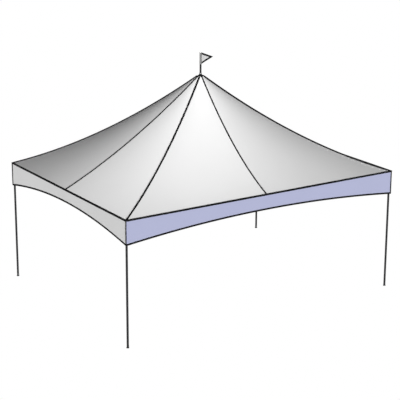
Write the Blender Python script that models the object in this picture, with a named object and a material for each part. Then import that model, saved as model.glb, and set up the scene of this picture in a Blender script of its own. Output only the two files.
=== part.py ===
"""Marquee tent: a peaked fabric roof on a four-legged tube frame, raised by a mast on crossed cables.

Metres, +Z up. The origin is on the ground below the peak, the long sides run along X and the
front faces -Y.
"""

import math

import bmesh
import bpy
from mathutils import Quaternion, Vector

# Frame
FRAME_LENGTH = 6.096
FRAME_DEPTH = 4.572
TUBE_RADIUS = 0.0206
TUBE_WALL = 0.0021
SPIGOT_PLAY = 0.0006
TOUCH_GAP = 0.0003
ROUND_SIDES = 24
SMOOTH_ANGLE = math.radians(40)

# Roof fabric
EAVE_TOP = 2.425
PEAK_TOP = 4.333
SKIN = 0.003
SKIN_DROP = 0.0033
SKIN_OFF_TUBE = 0.0005
SEAM_HALF_GAP = 0.0002
SAG_LONG_SIDE = 0.43
SAG_SHORT_SIDE = 0.285
SAG_HIP = 0.455
ROOF_COLUMNS = 4
ROOF_MOUTH = 0.012
CAP_EDGE = 0.020
HEAD_EDGE = 0.035
ROOF_ROWS = (ROOF_MOUTH, CAP_EDGE, HEAD_EDGE, 0.08, 0.15, 0.24, 0.34, 0.45, 0.57, 0.70, 0.84, 1.0)

# Valance
VALANCE_DEPTH = 0.465
HEM_RISE_LONG_SIDE = 0.170
HEM_RISE_SHORT_SIDE = 0.223
HEM_STEPS = 16

# Corner fittings and feet
ARM_LENGTH = 0.050
ARM_START = 0.006
ARM_TURN = math.radians(2.3)
CROWN_BELOW_EAVE = 0.003
SPIGOT_REACH = 0.140
FOOT_RADIUS = 0.028
FOOT_THICKNESS = 0.006
FOOT_SPIGOT_TOP = 0.090

# Lugs and forks
LUG_THICKNESS = 0.008
LUG_HEIGHT = 0.030
LUG_START = 0.013
LUG_PIN_REACH = 0.085
LUG_PAST_PIN = 0.014
PIN_RADIUS = 0.006
PIN_PROUD = 0.003
FORK_EAR = 0.005
FORK_WIDTH = 0.026
FORK_LENGTH = 0.048
FORK_BACK_OF_LUG = 0.002
WEB_STEP = 0.002
STEM_START = LUG_PAST_PIN + 0.012

# Turnbuckles and cables
CABLE_RADIUS = 0.004
CABLE_SIDES = 10
TURNBUCKLE_LENGTH = 0.300
TURNBUCKLE_RADIUS = 0.014
TURNBUCKLE_SIDES = 12
TURNBUCKLE_TAPER = 0.010
THREAD_RADIUS = 0.0065
THREAD_LENGTH = 0.045
SLEEVE_RADIUS = 0.0078
SLEEVE_LENGTH = 0.060
SLEEVE_TAPER = 0.006

# Mast
MAST_RADIUS = 0.030
MAST_WALL = 0.003
MAST_SPIGOT = 0.090
MAST_FOOT_CENTRE = 2.080
MAST_FOOT_RADIUS = 0.045
MAST_FOOT_HALF_HEIGHT = 0.035
MAST_FOOT_CHAMFER = 0.008
MAST_HEAD_NECK = 4.180
MAST_HEAD_FLARE = 0.006
MAST_HEAD_FLARE_TOP = 4.200
MAST_HEAD_RIM = 0.008

# Peak cap
CAP_THICKNESS = 0.005
COLLAR_FOOT_RADIUS = 0.0265
COLLAR_TOP_RADIUS = 0.0240
COLLAR_RISE = 0.006
COLLAR_TOP = 4.347

# Flag pole and pennant
POLE_RADIUS = 0.0190
POLE_PLAY = 0.0004
POLE_TOP = 4.756
POLE_SOCKET_FLOOR = 4.120
PENNANT_TOP = 4.754
PENNANT_FOOT = 4.524
PENNANT_TIP_HEIGHT = 4.646
PENNANT_REACH = 0.292
PENNANT_THICKNESS = 0.0024
PENNANT_SLEEVE_WALL = 0.002
PENNANT_LAP = 0.001

# Sizes that follow
POST_X = FRAME_LENGTH / 2 - TUBE_RADIUS
POST_Y = FRAME_DEPTH / 2 - TUBE_RADIUS
EAVE_X = FRAME_LENGTH / 2 + SKIN_OFF_TUBE + SKIN
EAVE_Y = FRAME_DEPTH / 2 + SKIN_OFF_TUBE + SKIN
TUBE_BORE = TUBE_RADIUS - TUBE_WALL
MAST_BORE = MAST_RADIUS - MAST_WALL
POLE_HOLE = POLE_RADIUS + POLE_PLAY
MAST_FOOT = Vector((0, 0, MAST_FOOT_CENTRE))
# The beams just clear the roof's underside where it is flattest, beside the hips on the short sides
FLATTEST_SLOPE = (PEAK_TOP - EAVE_TOP) * (1 - SAG_HIP) / EAVE_X
ROOF_OVER_BEAM = EAVE_TOP + FLATTEST_SLOPE * (EAVE_X - POST_X) - SKIN_DROP - TOUCH_GAP
BEAM_HEIGHT = ROOF_OVER_BEAM - TUBE_RADIUS * math.hypot(1, FLATTEST_SLOPE)
FITTING_CROWN = EAVE_TOP - CROWN_BELOW_EAVE - BEAM_HEIGHT

UP = Vector((0, 0, 1))
CORNERS = {
    "front_left": Vector((-1, -1, 0)),
    "front_right": Vector((1, -1, 0)),
    "back_left": Vector((-1, 1, 0)),
    "back_right": Vector((1, 1, 0)),
}
# Each side's name, outward direction, distance from the middle, half its length and roof sag
SIDES = (
    ("right", Vector((1, 0, 0)), EAVE_X, EAVE_Y, SAG_SHORT_SIDE),
    ("back", Vector((0, 1, 0)), EAVE_Y, EAVE_X, SAG_LONG_SIDE),
    ("left", Vector((-1, 0, 0)), EAVE_X, EAVE_Y, SAG_SHORT_SIDE),
    ("front", Vector((0, -1, 0)), EAVE_Y, EAVE_X, SAG_LONG_SIDE),
)
# Eight roof panels, anticlockwise from the right side's middle, each with the side it lies on
GORES = (
    ("right_back", 0),
    ("back_right", 1),
    ("back_left", 1),
    ("left_back", 2),
    ("left_front", 2),
    ("front_left", 3),
    ("front_right", 3),
    ("right_front", 0),
)


# Scene and materials


def clear_scene():
    for thing in list(bpy.data.objects):
        bpy.data.objects.remove(thing)


def finish(name, colour, roughness, metallic=0.0):
    """A plain Principled material."""
    made = bpy.data.materials.new(name)
    made.use_nodes = True
    shader = made.node_tree.nodes["Principled BSDF"]
    shader.inputs["Base Color"].default_value = (*colour, 1.0)
    shader.inputs["Roughness"].default_value = roughness
    shader.inputs["Metallic"].default_value = metallic
    made.diffuse_color = (*colour, 1.0)
    return made


def group(name):
    """An empty that gathers one assembly."""
    made = bpy.data.objects.new(name, None)
    bpy.context.scene.collection.objects.link(made)
    return made


def dress(piece, material, parent, round_piece=True):
    """Gives a piece its material, its assembly and, where it is round, smooth shading."""
    piece.data.materials.clear()
    piece.data.materials.append(material)
    piece.parent = parent
    if round_piece:
        piece.data.shade_smooth()
        piece.data.set_sharp_from_angle(angle=SMOOTH_ANGLE)


# Shape makers


def object_from(name, mesh_builder):
    mesh = bpy.data.meshes.new(name)
    mesh_builder.to_mesh(mesh)
    mesh_builder.free()
    made = bpy.data.objects.new(name, mesh)
    bpy.context.scene.collection.objects.link(made)
    return made


def along(piece, start, direction):
    """Puts a piece at start with its own Z along the direction and its own Y as upright as it goes."""
    piece.location = start
    piece.rotation_mode = "QUATERNION"
    piece.rotation_quaternion = direction.to_track_quat("Z", "Y")
    return piece


def turned(name, profile, sides=ROUND_SIDES, hollow=False):
    """Spins a profile of (radius, height) points about Z. A hollow one is a closed loop off the axis."""
    shape = bmesh.new()
    points = [shape.verts.new((radius, 0, height)) for radius, height in profile]
    for first, second in zip(points, points[1:]):
        shape.edges.new((first, second))
    if hollow:
        shape.edges.new((points[-1], points[0]))
    bmesh.ops.spin(
        shape,
        geom=shape.verts[:] + shape.edges[:],
        cent=(0, 0, 0),
        axis=UP,
        angle=math.tau,
        steps=sides,
    )
    bmesh.ops.remove_doubles(shape, verts=shape.verts, dist=1e-6)
    bmesh.ops.dissolve_degenerate(shape, edges=shape.edges, dist=1e-6)
    bmesh.ops.recalc_face_normals(shape, faces=shape.faces)
    return object_from(name, shape)


def tube(name, start, end, radius, bore):
    """An open-ended round tube between two points."""
    length = (end - start).length
    profile = ((radius, 0), (radius, length), (bore, length), (bore, 0))
    return along(turned(name, profile, hollow=True), start, end - start)


def rod(name, start, direction, length, radius, sides=ROUND_SIDES):
    """A solid round bar."""
    profile = ((0, 0), (radius, 0), (radius, length), (0, length))
    return along(turned(name, profile, sides), start, direction)


def block(name, start, direction, size, middle):
    """A box of size (x, y, z) round a middle, in the frame that lies along a direction."""
    shape = bmesh.new()
    bmesh.ops.create_cube(shape, size=1.0)
    bmesh.ops.scale(shape, vec=size, verts=shape.verts)
    bmesh.ops.translate(shape, vec=middle, verts=shape.verts)
    return along(object_from(name, shape), start, direction)


def fuse(base, joined=(), cut=()):
    """Joins solids to the base, cuts others out of it and keeps the result as the base's own mesh."""
    for operation, helpers in (("UNION", joined), ("DIFFERENCE", cut)):
        for helper in helpers:
            step = base.modifiers.new(operation.title(), "BOOLEAN")
            step.operation = operation
            step.object = helper
    graph = bpy.context.evaluated_depsgraph_get()
    solid = bpy.data.meshes.new_from_object(base.evaluated_get(graph))
    base.modifiers.clear()
    base.data = solid
    for helper in (*joined, *cut):
        bpy.data.objects.remove(helper)
    return base


def skin_faces(shape, grid):
    """Triangles over a grid of vertices, always with the same diagonal."""
    for row, below in zip(grid, grid[1:]):
        for j in range(len(row) - 1):
            shape.faces.new((row[j], row[j + 1], below[j + 1]))
            shape.faces.new((row[j], below[j + 1], below[j]))


def sheet(name, upper, lower):
    """A closed thin solid between two grids of points."""
    shape = bmesh.new()
    grids = [[[shape.verts.new(point) for point in row] for row in rows] for rows in (upper, lower)]
    rims = []
    for grid in grids:
        skin_faces(shape, grid)
        right = [row[-1] for row in grid[1:-1]]
        left = [row[0] for row in grid[-2:0:-1]]
        rims.append(grid[0] + right + grid[-1][::-1] + left)
    top, bottom = rims
    for i in range(len(top)):
        j = (i + 1) % len(top)
        shape.faces.new((top[i], top[j], bottom[j], bottom[i]))
    bmesh.ops.recalc_face_normals(shape, faces=shape.faces)
    return object_from(name, shape)


def ringed(name, rings, hollow):
    """A solid skinned over rings of points. A hollow one closes on its first ring, another has end caps."""
    shape = bmesh.new()
    grid = [[shape.verts.new(point) for point in ring] for ring in rings]
    if hollow:
        grid.append(grid[0])
    else:
        shape.faces.new(grid[0])
        shape.faces.new(grid[-1])
    skin_faces(shape, [[*ring, ring[0]] for ring in grid])
    bmesh.ops.recalc_face_normals(shape, faces=shape.faces)
    return object_from(name, shape)


# Roof surface


def roof_point(side, across, out, lift=0.0):
    """A point of the roof: across runs -1 to 1 between a side's hips, and out 0 to 1 from peak to eave."""
    _, outward, reach, half, side_sag = SIDES[side]
    sag = side_sag + (SAG_HIP - side_sag) * across**2
    height = EAVE_TOP + (PEAK_TOP - EAVE_TOP) * (1 - out) * (1 - sag * out)
    onward = UP.cross(outward)
    return outward * (reach * out) + onward * (half * across * out) + UP * (height + lift)


def gore_row(number, out, lift=0.0):
    """One level of one roof panel, from its first seam to its second."""
    side = GORES[number][1]
    start = 0 if number % 2 == 0 else -1
    return [
        roof_point(side, start + step / ROOF_COLUMNS, out, lift) for step in range(ROOF_COLUMNS + 1)
    ]


def roof_ring(out, lift=0.0):
    """One level of the whole roof, anticlockwise from the right side's middle."""
    return [point for number in range(len(GORES)) for point in gore_row(number, out, lift)[:-1]]


def round_ring(radius, height):
    """A circle whose points lie at the same bearings as the roof's."""
    return [
        Vector((point.x, point.y, 0)).normalized() * radius + UP * height for point in roof_ring(1.0)
    ]


def drawn_in(row):
    """A panel's row with its two ends drawn back from the seams."""
    first = row[0] + (row[1] - row[0]).normalized() * SEAM_HALF_GAP
    last = row[-1] + (row[-2] - row[-1]).normalized() * SEAM_HALF_GAP
    return [first, *row[1:-1], last]


# Frame


def post_point(corner, height):
    """The point at a height on a corner leg's centre line."""
    return Vector((corner.x * POST_X, corner.y * POST_Y, height))


def make_leg(name, corner, material, parent):
    start = post_point(corner, FOOT_THICKNESS + TOUCH_GAP)
    end = post_point(corner, BEAM_HEIGHT - ARM_LENGTH - TOUCH_GAP)
    dress(tube(f"leg_{name}", start, end, TUBE_RADIUS, TUBE_BORE), material, parent)


def make_foot(name, corner, material, parent):
    spigot = TUBE_BORE - SPIGOT_PLAY
    profile = (
        (0, 0),
        (FOOT_RADIUS, 0),
        (FOOT_RADIUS, FOOT_THICKNESS),
        (spigot, FOOT_THICKNESS),
        (spigot, FOOT_SPIGOT_TOP),
        (0, FOOT_SPIGOT_TOP),
    )
    foot = turned(f"foot_{name}", profile)
    foot.location = post_point(corner, 0)
    dress(foot, material, parent)


def cable_line(corner):
    """Where a cable's centre line starts, its direction towards the mast foot and its length."""
    start = post_point(corner, BEAM_HEIGHT)
    return start, (MAST_FOOT - start).normalized(), (MAST_FOOT - start).length


def lug(start, direction):
    """A plate that runs out along a cable's line."""
    reach = LUG_PIN_REACH + LUG_PAST_PIN
    size = (LUG_THICKNESS, LUG_HEIGHT, reach - LUG_START)
    return block("lug", start, direction, size, (0, 0, (reach + LUG_START) / 2))


def cross_bar(middle, direction, radius, length):
    """A bar square to a cable and level."""
    level = direction.cross(UP).normalized()
    return rod("cross_bar", middle - level * length / 2, level, length, radius, CABLE_SIDES)


def pin_hole(start, direction):
    """The cutter for the hole that a fork's pin goes through."""
    middle = start + direction * LUG_PIN_REACH
    return cross_bar(middle, direction, PIN_RADIUS + TOUCH_GAP, 3 * LUG_THICKNESS)


def fitting_arm(centre, way, first, turn):
    """One arm of a corner fitting, as wide as the tubes, with the spigot that a tube slips over.

    It is turned a little on its own axis, so that no two arms meet edge on edge.
    """
    spigot = TUBE_BORE - SPIGOT_PLAY
    profile = (
        (0, first),
        (TUBE_RADIUS, first),
        (TUBE_RADIUS, ARM_LENGTH),
        (spigot, ARM_LENGTH),
        (spigot, SPIGOT_REACH),
        (0, SPIGOT_REACH),
    )
    arm = along(turned("arm", profile), centre, way)
    arm.rotation_quaternion @= Quaternion((0, 0, 1), turn)
    return arm


def make_corner_fitting(name, corner, material, parent):
    centre = post_point(corner, BEAM_HEIGHT)
    _, direction, _ = cable_line(corner)
    down = fitting_arm(centre, -UP, -FITTING_CROWN, ARM_TURN)
    inward = [
        fitting_arm(centre, Vector((-corner.x, 0, 0)), ARM_START, 2 * ARM_TURN),
        fitting_arm(centre, Vector((0, -corner.y, 0)), ARM_START, 3 * ARM_TURN),
    ]
    fitting = fuse(down, [*inward, lug(centre, direction)], [pin_hole(centre, direction)])
    fitting.name = f"corner_fitting_{name}"
    dress(fitting, material, parent)


def make_eave_beam(side, material, parent):
    name, outward, reach, _, _ = SIDES[side]
    onward = UP.cross(outward)
    middle = outward * (reach - SKIN - SKIN_OFF_TUBE - TUBE_RADIUS) + UP * BEAM_HEIGHT
    half = (POST_Y if outward.x else POST_X) - ARM_LENGTH - TOUCH_GAP
    start, end = middle - onward * half, middle + onward * half
    dress(tube(f"eave_beam_{name}", start, end, TUBE_RADIUS, TUBE_BORE), material, parent)


# Cables


def fork(pin_point, direction):
    """The ears, web and pin of a fork whose mouth opens against the direction."""
    inside = LUG_THICKNESS / 2 + TOUCH_GAP
    mouth = FORK_BACK_OF_LUG - LUG_PAST_PIN
    pieces = []
    for hand in (-1, 1):
        size = (FORK_EAR, FORK_WIDTH, FORK_LENGTH)
        middle = (hand * (inside + FORK_EAR / 2), 0, mouth + FORK_LENGTH / 2)
        pieces.append(block("ear", pin_point, direction, size, middle))
    web_start = LUG_PAST_PIN + 2 * TOUCH_GAP
    web_end = mouth + FORK_LENGTH - WEB_STEP / 2
    web_size = (2 * inside + FORK_EAR, FORK_WIDTH - 2 * WEB_STEP, web_end - web_start)
    pieces.append(block("web", pin_point, direction, web_size, (0, 0, (web_start + web_end) / 2)))
    pin_length = 2 * (inside + FORK_EAR + PIN_PROUD)
    pieces.append(cross_bar(pin_point, direction, PIN_RADIUS, pin_length))
    return pieces


def make_turnbuckle(name, corner, material, parent):
    start, direction, _ = cable_line(corner)
    pin_point = start + direction * LUG_PIN_REACH
    body_start = STEM_START + THREAD_LENGTH
    body_end = TURNBUCKLE_LENGTH - THREAD_LENGTH
    profile = (
        (0, STEM_START),
        (THREAD_RADIUS, STEM_START),
        (THREAD_RADIUS, body_start),
        (TURNBUCKLE_RADIUS, body_start + TURNBUCKLE_TAPER),
        (TURNBUCKLE_RADIUS, body_end - TURNBUCKLE_TAPER),
        (THREAD_RADIUS, body_end),
        (THREAD_RADIUS, TURNBUCKLE_LENGTH),
        (0, TURNBUCKLE_LENGTH),
    )
    screw = along(turned(f"turnbuckle_{name}", profile, TURNBUCKLE_SIDES), pin_point, direction)
    dress(fuse(screw, fork(pin_point, direction)), material, parent)


def make_cable(name, corner, material, parent):
    start, direction, length = cable_line(corner)
    pin_point = start + direction * (length - LUG_PIN_REACH)
    run = length - 2 * LUG_PIN_REACH - TURNBUCKLE_LENGTH - TOUCH_GAP
    profile = (
        (0, STEM_START),
        (SLEEVE_RADIUS, STEM_START),
        (SLEEVE_RADIUS, STEM_START + SLEEVE_LENGTH),
        (CABLE_RADIUS, STEM_START + SLEEVE_LENGTH + SLEEVE_TAPER),
        (CABLE_RADIUS, run - SLEEVE_LENGTH - SLEEVE_TAPER),
        (SLEEVE_RADIUS, run - SLEEVE_LENGTH),
        (SLEEVE_RADIUS, run),
        (0, run),
    )
    cable = along(turned(f"cross_cable_{name}", profile, CABLE_SIDES), pin_point, -direction)
    dress(fuse(cable, fork(pin_point, -direction)), material, parent)


# Mast and flag


def make_mast_foot(material, parent):
    spigot = MAST_BORE - SPIGOT_PLAY
    top = MAST_FOOT_HALF_HEIGHT
    profile = (
        (0, -top),
        (MAST_FOOT_RADIUS - MAST_FOOT_CHAMFER, -top),
        (MAST_FOOT_RADIUS, MAST_FOOT_CHAMFER - top),
        (MAST_FOOT_RADIUS, top - MAST_FOOT_CHAMFER),
        (MAST_FOOT_RADIUS - MAST_FOOT_CHAMFER, top),
        (spigot, top),
        (spigot, top + MAST_SPIGOT),
        (0, top + MAST_SPIGOT),
    )
    hub = turned("mast_foot", profile)
    hub.location = MAST_FOOT
    ways = [-cable_line(corner)[1] for corner in CORNERS.values()]
    lugs = [lug(MAST_FOOT, way) for way in ways]
    holes = [pin_hole(MAST_FOOT, way) for way in ways]
    dress(fuse(hub, lugs, holes), material, parent)


def make_mast(material, parent):
    start = UP * (MAST_FOOT_CENTRE + MAST_FOOT_HALF_HEIGHT + TOUCH_GAP)
    end = UP * (MAST_HEAD_NECK - TOUCH_GAP)
    dress(tube("mast", start, end, MAST_RADIUS, MAST_BORE), material, parent)


def make_mast_head(material, parent):
    """The plate under the peak: its top follows the fabric, and a socket takes the flag pole."""
    below = -SKIN_DROP - TOUCH_GAP
    spigot = MAST_BORE - SPIGOT_PLAY
    rings = [
        round_ring(POLE_HOLE, POLE_SOCKET_FLOOR),
        round_ring(POLE_HOLE, roof_point(0, 1, ROOF_MOUTH, below).z),
        roof_ring(ROOF_MOUTH, below),
        roof_ring(CAP_EDGE, below),
        roof_ring(HEAD_EDGE, below),
        roof_ring(HEAD_EDGE, below - MAST_HEAD_RIM),
        round_ring(MAST_RADIUS + MAST_HEAD_FLARE, MAST_HEAD_FLARE_TOP),
        round_ring(MAST_RADIUS, MAST_HEAD_NECK),
        round_ring(spigot, MAST_HEAD_NECK),
        round_ring(spigot, MAST_HEAD_NECK - MAST_SPIGOT),
    ]
    dress(ringed("mast_head", rings, hollow=False), material, parent, round_piece=False)


def make_peak_cap(material, parent):
    """The boot over the roof's mouth, clamped round the flag pole."""
    mouth_top = roof_point(1, 0, ROOF_MOUTH).z
    rings = [
        round_ring(POLE_HOLE, mouth_top),
        roof_ring(ROOF_MOUTH, TOUCH_GAP),
        roof_ring(CAP_EDGE, TOUCH_GAP),
        roof_ring(CAP_EDGE, CAP_THICKNESS),
        roof_ring(ROOF_MOUTH, CAP_THICKNESS),
        round_ring(COLLAR_FOOT_RADIUS, mouth_top + CAP_THICKNESS + COLLAR_RISE),
        round_ring(COLLAR_TOP_RADIUS, COLLAR_TOP),
        round_ring(POLE_HOLE, COLLAR_TOP),
    ]
    dress(ringed("peak_cap", rings, hollow=True), material, parent, round_piece=False)


def make_flag_pole(material, parent):
    floor = POLE_SOCKET_FLOOR + TOUCH_GAP
    dress(rod("flag_pole", UP * floor, UP, POLE_TOP - floor, POLE_RADIUS), material, parent)


def make_pennant(material, parent):
    """A three-cornered flag with a sleeve over the pole."""
    wall = POLE_HOLE + PENNANT_SLEEVE_WALL
    sleeve = tube("pennant", UP * PENNANT_FOOT, UP * PENNANT_TOP, wall, POLE_HOLE)
    hoist = POLE_HOLE + PENNANT_LAP
    outline = (
        (hoist, PENNANT_FOOT + PENNANT_LAP),
        (PENNANT_REACH, PENNANT_TIP_HEIGHT),
        (hoist, PENNANT_TOP - PENNANT_LAP),
    )
    shape = bmesh.new()
    corners = [shape.verts.new((x, -PENNANT_THICKNESS / 2, z)) for x, z in outline]
    face = shape.faces.new(corners)
    pushed = bmesh.ops.extrude_face_region(shape, geom=[face])["geom"]
    moved = [item for item in pushed if isinstance(item, bmesh.types.BMVert)]
    bmesh.ops.translate(shape, vec=(0, PENNANT_THICKNESS, 0), verts=moved)
    bmesh.ops.recalc_face_normals(shape, faces=shape.faces)
    dress(fuse(sleeve, [object_from("fly", shape)]), material, parent, round_piece=False)


# Fabric


def make_gore(number, material, parent):
    name = GORES[number][0]
    upper = [drawn_in(gore_row(number, out)) for out in ROOF_ROWS]
    lower = [drawn_in(gore_row(number, out, -SKIN_DROP)) for out in ROOF_ROWS]
    dress(sheet(f"roof_gore_{name}", upper, lower), material, parent, round_piece=False)


def make_valance(side, material, parent):
    """A hanging border with an arched hem. The long ones run past the ends of the short ones."""
    name, outward, reach, half, _ = SIDES[side]
    onward = UP.cross(outward)
    long_side = outward.x == 0
    rise = HEM_RISE_LONG_SIDE if long_side else HEM_RISE_SHORT_SIDE
    end = half if long_side else half - SKIN - TOUCH_GAP
    top = EAVE_TOP - SKIN_DROP - TOUCH_GAP
    faces = []
    for depth in (0, SKIN):
        upper, lower = [], []
        for step in range(HEM_STEPS + 1):
            across = 2 * step / HEM_STEPS - 1
            point = outward * (reach - depth) + onward * (end * across)
            upper.append(point + UP * top)
            lower.append(point + UP * (EAVE_TOP - VALANCE_DEPTH + rise * (1 - across**2)))
        faces.append([upper, lower])
    dress(sheet(f"valance_{name}", *faces), material, parent, round_piece=False)


def main():
    clear_scene()
    frame_metal = finish("frame_metal", (0.02, 0.02, 0.022), 0.45, 0.6)
    cable_steel = finish("cable_steel", (0.45, 0.46, 0.47), 0.35, 1.0)
    foot_rubber = finish("foot_rubber", (0.02, 0.02, 0.02), 0.8)
    roof_fabric = finish("roof_fabric", (0.88, 0.88, 0.88), 0.6)
    grey_fabric = finish("grey_fabric", (0.60, 0.60, 0.60), 0.6)
    lavender_fabric = finish("lavender_fabric", (0.44, 0.47, 0.67), 0.6)
    black_vinyl = finish("black_vinyl", (0.015, 0.015, 0.015), 0.5)
    pennant_cloth = finish("pennant_cloth", (0.62, 0.62, 0.62), 0.7)

    frame = group("frame")
    rigging = group("rigging")
    cover = group("cover")

    for name, corner in CORNERS.items():
        make_leg(name, corner, frame_metal, frame)
        make_foot(name, corner, foot_rubber, frame)
        make_corner_fitting(name, corner, frame_metal, frame)
        make_turnbuckle(name, corner, cable_steel, rigging)
        make_cable(name, corner, cable_steel, rigging)
    for side in range(len(SIDES)):
        make_eave_beam(side, frame_metal, frame)
        valance_fabric = grey_fabric if SIDES[side][1].x else lavender_fabric
        make_valance(side, valance_fabric, cover)
    make_mast_foot(frame_metal, rigging)
    make_mast(frame_metal, rigging)
    make_mast_head(frame_metal, rigging)
    for number in range(len(GORES)):
        make_gore(number, roof_fabric, cover)
    make_peak_cap(black_vinyl, cover)
    make_flag_pole(frame_metal, rigging)
    make_pennant(pennant_cloth, cover)


main()
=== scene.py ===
"""The looks of the marquee tent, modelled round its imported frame.

The roof is one sheet of coated cloth over a mast, bound with black webbing along its hips, seams
and edges. Valances hang from the eaves, a pennant flies over the peak, and the frame and its
rigging carry them.
"""

import logging
import math
from collections.abc import Callable, Iterable
from dataclasses import dataclass, field
from enum import Enum

import bpy
from mathutils import Matrix, Vector


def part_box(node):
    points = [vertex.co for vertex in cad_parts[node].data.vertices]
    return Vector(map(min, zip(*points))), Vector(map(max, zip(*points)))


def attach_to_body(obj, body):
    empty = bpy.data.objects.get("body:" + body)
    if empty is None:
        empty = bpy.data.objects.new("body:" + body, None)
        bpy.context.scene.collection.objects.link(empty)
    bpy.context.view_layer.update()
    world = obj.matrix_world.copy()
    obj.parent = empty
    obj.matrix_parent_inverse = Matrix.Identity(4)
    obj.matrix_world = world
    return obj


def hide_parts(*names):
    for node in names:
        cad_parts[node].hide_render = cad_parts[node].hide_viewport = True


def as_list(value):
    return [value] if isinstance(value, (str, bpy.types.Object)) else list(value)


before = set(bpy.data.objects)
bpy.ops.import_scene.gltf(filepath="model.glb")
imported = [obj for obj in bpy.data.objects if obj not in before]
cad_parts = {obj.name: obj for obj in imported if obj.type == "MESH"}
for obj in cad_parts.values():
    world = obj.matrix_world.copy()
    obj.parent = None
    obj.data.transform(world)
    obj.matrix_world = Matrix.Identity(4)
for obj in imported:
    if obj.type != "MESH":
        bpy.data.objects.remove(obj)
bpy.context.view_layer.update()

ROOT = "root"
UP = Vector((0.0, 0.0, 1.0))
LOG = logging.getLogger("marquee")

Place = Callable[[float, float], Vector]


class Slot(Enum):
    """The record's material slots."""

    FRAME = "frame_metal"
    FOOT = "foot_rubber"
    CABLE = "cable_steel"
    ROOF = "roof_fabric"
    GREY = "grey_fabric"
    LAVENDER = "lavender_fabric"
    BLACK = "black_vinyl"
    PENNANT = "pennant_cloth"


class Side(Enum):
    """The four sides, each with the way that it faces."""

    RIGHT = (1.0, 0.0)
    BACK = (0.0, 1.0)
    LEFT = (-1.0, 0.0)
    FRONT = (0.0, -1.0)

    @property
    def outward(self) -> Vector:
        """The level direction that the side faces."""
        return Vector((*self.value, 0.0))

    @property
    def onward(self) -> Vector:
        """The level direction along the side, anticlockwise seen from above."""
        return UP.cross(self.outward)

    @property
    def label(self) -> str:
        """The side's name as the pieces have it."""
        return self.name.lower()

    @property
    def is_long(self) -> bool:
        """Whether the side is one of the two long ones."""
        return self.value[0] == 0.0


class Corner(Enum):
    """The four corners, each with the signs of its x and y."""

    FRONT_LEFT = (-1.0, -1.0)
    FRONT_RIGHT = (1.0, -1.0)
    BACK_LEFT = (-1.0, 1.0)
    BACK_RIGHT = (1.0, 1.0)

    @property
    def label(self) -> str:
        """The corner's name as the pieces have it."""
        return self.name.lower()


# Shader maths


class Value:
    """A number's socket in a node tree, on which Python's operators add Math nodes."""

    def __init__(self, graph: "Graph", socket: bpy.types.NodeSocket) -> None:
        """Wraps a socket.

        Args:
            graph: The graph that the socket belongs to.
            socket: The output socket to wrap.
        """
        self.graph = graph
        self.socket = socket

    def maths(self, operation: str, *others: "Value | float") -> "Value":
        """Adds one Math node with this socket first.

        Args:
            operation: The Math node's operation.
            others: The values after this one.

        Returns:
            The result's socket.
        """
        values = dict(enumerate((self, *others)))
        return self.graph.value("ShaderNodeMath", {"operation": operation}, values)

    def _swapped(self, operation: str, first: "Value | float") -> "Value":
        """Adds one Math node with this socket second."""
        return self.graph.value("ShaderNodeMath", {"operation": operation}, {0: first, 1: self})

    def __add__(self, other: "Value | float") -> "Value":
        """This plus another."""
        return self.maths("ADD", other)

    __radd__ = __add__

    def __mul__(self, other: "Value | float") -> "Value":
        """This times another."""
        return self.maths("MULTIPLY", other)

    __rmul__ = __mul__

    def __sub__(self, other: "Value | float") -> "Value":
        """This less another."""
        return self.maths("SUBTRACT", other)

    def __rsub__(self, other: "Value | float") -> "Value":
        """Another less this."""
        return self._swapped("SUBTRACT", other)

    def __truediv__(self, other: "Value | float") -> "Value":
        """This over another."""
        return self.maths("DIVIDE", other)

    def __pow__(self, other: "Value | float") -> "Value":
        """This to a power."""
        return self.maths("POWER", other)

    def wave(self) -> "Value":
        """The sine, brought to 0 to 1."""
        return self.maths("SINE") * 0.5 + 0.5

    def step_up(self, low: float, high: float) -> "Value":
        """A smooth step from 0 at low to 1 at high."""
        settings = {"interpolation_type": "SMOOTHSTEP"}
        values = {"Value": self, "From Min": low, "From Max": high}
        return self.graph.value("ShaderNodeMapRange", settings, values)


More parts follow.
